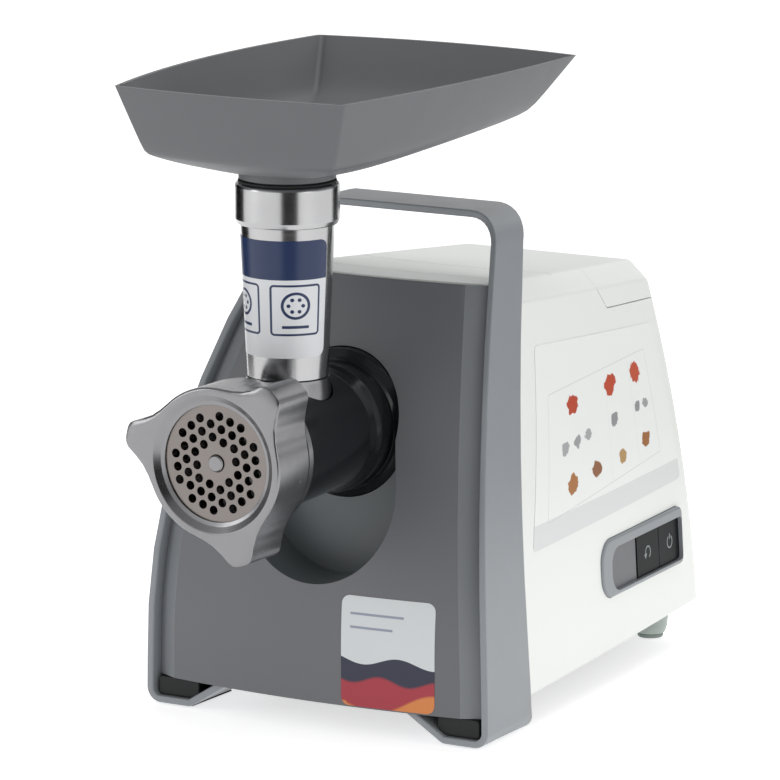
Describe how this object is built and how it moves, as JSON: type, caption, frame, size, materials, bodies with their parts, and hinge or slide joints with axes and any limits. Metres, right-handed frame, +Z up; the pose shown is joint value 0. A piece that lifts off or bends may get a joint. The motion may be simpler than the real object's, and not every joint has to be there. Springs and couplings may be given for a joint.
{
  "type": "electric meat grinder",
  "caption": "Electric meat grinder: a motor base with a carrying-handle frame, and a metal grinding head with a ring nut, perforated disc, feed tube and filling tray.",
  "frame": {"origin": "on the floor under the middle of the object's box", "axes": "+Z up, -Y towards the grinding head and its disc, +X towards the side with the control buttons"},
  "size_m": [0.203, 0.3754, 0.335],
  "materials": {
    "panel_grey": "satin moulded, warm dark grey",
    "frame_grey": "satin moulded, mid grey",
    "tray_grey": "smooth matte grey",
    "white_plastic": "semi-gloss white",
    "black_gloss": "gloss black",
    "dark_plastic": "matte dark",
    "pale_plastic": "satin pale grey",
    "gear_plastic": "natural engineering plastic",
    "cast_aluminium": "fine satin",
    "polished_steel": "polished stainless",
    "disc_steel": "ground face",
    "tool_steel": "satin",
    "rubber": "matte",
    "copper": "enamelled copper",
    "laminations": "stacked steel sheet",
    "carbon": "pressed carbon",
    "circuit_board": "coated board"
  },
  "bodies": {
    "base": {"handle_frame": "frame_grey", "front_panel": "panel_grey", "main_housing": "white_plastic", "lid_hinge_pin": "tool_steel", "control_bezel": "frame_grey", "base_plate": "dark_plastic", "base_screw_1": "tool_steel", "base_screw_2": "tool_steel", "base_screw_3": "tool_steel", "base_screw_4": "tool_steel", "rear_foot_left": "pale_plastic", "rear_foot_right": "pale_plastic", "rear_foot_pad_left": "rubber", "rear_foot_pad_right": "rubber", "front_foot_pad_left": "rubber", "front_foot_pad_right": "rubber", "storage_bin": "dark_plastic", "cord_gland": "dark_plastic", "reverse_switch": "dark_plastic", "power_switch": "dark_plastic", "control_board": "circuit_board", "socket_ring": "black_gloss", "second_gear_pin": "tool_steel", "first_gear_pin": "tool_steel", "output_bearing": "tool_steel", "gearbox_housing": "dark_plastic", "gearbox_cover": "cast_aluminium", "front_bearing": "tool_steel", "rear_bearing": "tool_steel", "stator_core": "laminations", "field_coil_upper": "copper", "field_coil_lower": "copper", "motor_rear_bracket": "cast_aluminium", "carbon_brush_left": "carbon", "brush_holder_left": "dark_plastic", "carbon_brush_right": "carbon", "brush_holder_right": "dark_plastic", "head_casting": "cast_aluminium", "head_neck": "black_gloss", "feed_tube": "polished_steel", "tube_collar": "polished_steel", "collar_gasket": "rubber"},
    "drive": {"drive_shaft": "tool_steel", "drive_gear": "gear_plastic", "drive_coupling": "dark_plastic", "auger": "cast_aluminium", "knife": "tool_steel"},
    "second_gear": {"second_gear": "gear_plastic"},
    "first_gear": {"first_gear": "gear_plastic"},
    "rotor": {"rotor_shaft": "tool_steel", "cooling_fan": "dark_plastic", "armature": "laminations", "commutator": "copper"},
    "disc": {"perforated_disc": "disc_steel"},
    "nut": {"ring_nut": "cast_aluminium"},
    "tray": {"filling_tray": "tray_grey"},
    "lid": {"storage_lid": "white_plastic"},
    "power_button": {"power_button": "black_gloss"},
    "reverse_button": {"reverse_button": "black_gloss"},
    "release_button": {"release_button": "dark_plastic"}
  },
  "joints": [
    {"name": "drive_spin", "type": "hinge", "parent": "base", "child": "drive", "pos_m": [0, -0.04175, 0.154], "axis": [0, -1, 0], "continuous": true},
    {"name": "second_gear_spin", "type": "hinge", "parent": "base", "child": "second_gear", "pos_m": [0.028, -0.04175, 0.11594], "axis": [0, -1, 0], "continuous": true},
    {"name": "first_gear_spin", "type": "hinge", "parent": "base", "child": "first_gear", "pos_m": [0, -0.04175, 0.09494], "axis": [0, -1, 0], "continuous": true},
    {"name": "rotor_spin", "type": "hinge", "parent": "base", "child": "rotor", "pos_m": [0, 0.02825, 0.06974], "axis": [0, -1, 0], "continuous": true},
    {"name": "disc_travel", "type": "slide", "parent": "base", "child": "disc", "axis": [0, -1, 0], "range_m": [0, 0.0081]},
    {"name": "ring_nut_turn", "type": "hinge", "parent": "disc", "child": "nut", "pos_m": [0, -0.17175, 0.154], "axis": [0, -1, 0], "range_deg": [0, 720]},
    {"name": "tray_lift", "type": "slide", "parent": "base", "child": "tray", "axis": [0, 0, 1], "range_m": [0, 0.03]},
    {"name": "lid_hinge", "type": "hinge", "parent": "base", "child": "lid", "pos_m": [0, 0.1629, 0.1896], "axis": [-1, 0, 0], "range_deg": [0, 100]},
    {"name": "power_press", "type": "slide", "parent": "base", "child": "power_button", "axis": [-0.9951, -0.0801, -0.0576], "range_m": [0, 0.0015], "stiffness_N_per_m": 500, "springref_m": -0.001},
    {"name": "reverse_press", "type": "slide", "parent": "base", "child": "reverse_button", "axis": [-0.9951, -0.0801, -0.0576], "range_m": [0, 0.0015], "stiffness_N_per_m": 500, "springref_m": -0.001},
    {"name": "release_press", "type": "slide", "parent": "base", "child": "release_button", "axis": [0, 1, 0], "range_m": [0, 0.003], "stiffness_N_per_m": 500, "springref_m": -0.001}
  ],
  "couplings": [
    {"joint": "second_gear_spin", "follows": "drive_spin", "ratio": -3.5},
    {"joint": "first_gear_spin", "follows": "drive_spin", "ratio": 12.833},
    {"joint": "rotor_spin", "follows": "drive_spin", "ratio": -47.056},
    {"joint": "disc_travel", "follows": "ring_nut_turn", "m_per_rad": 0.00063662}
  ]
}
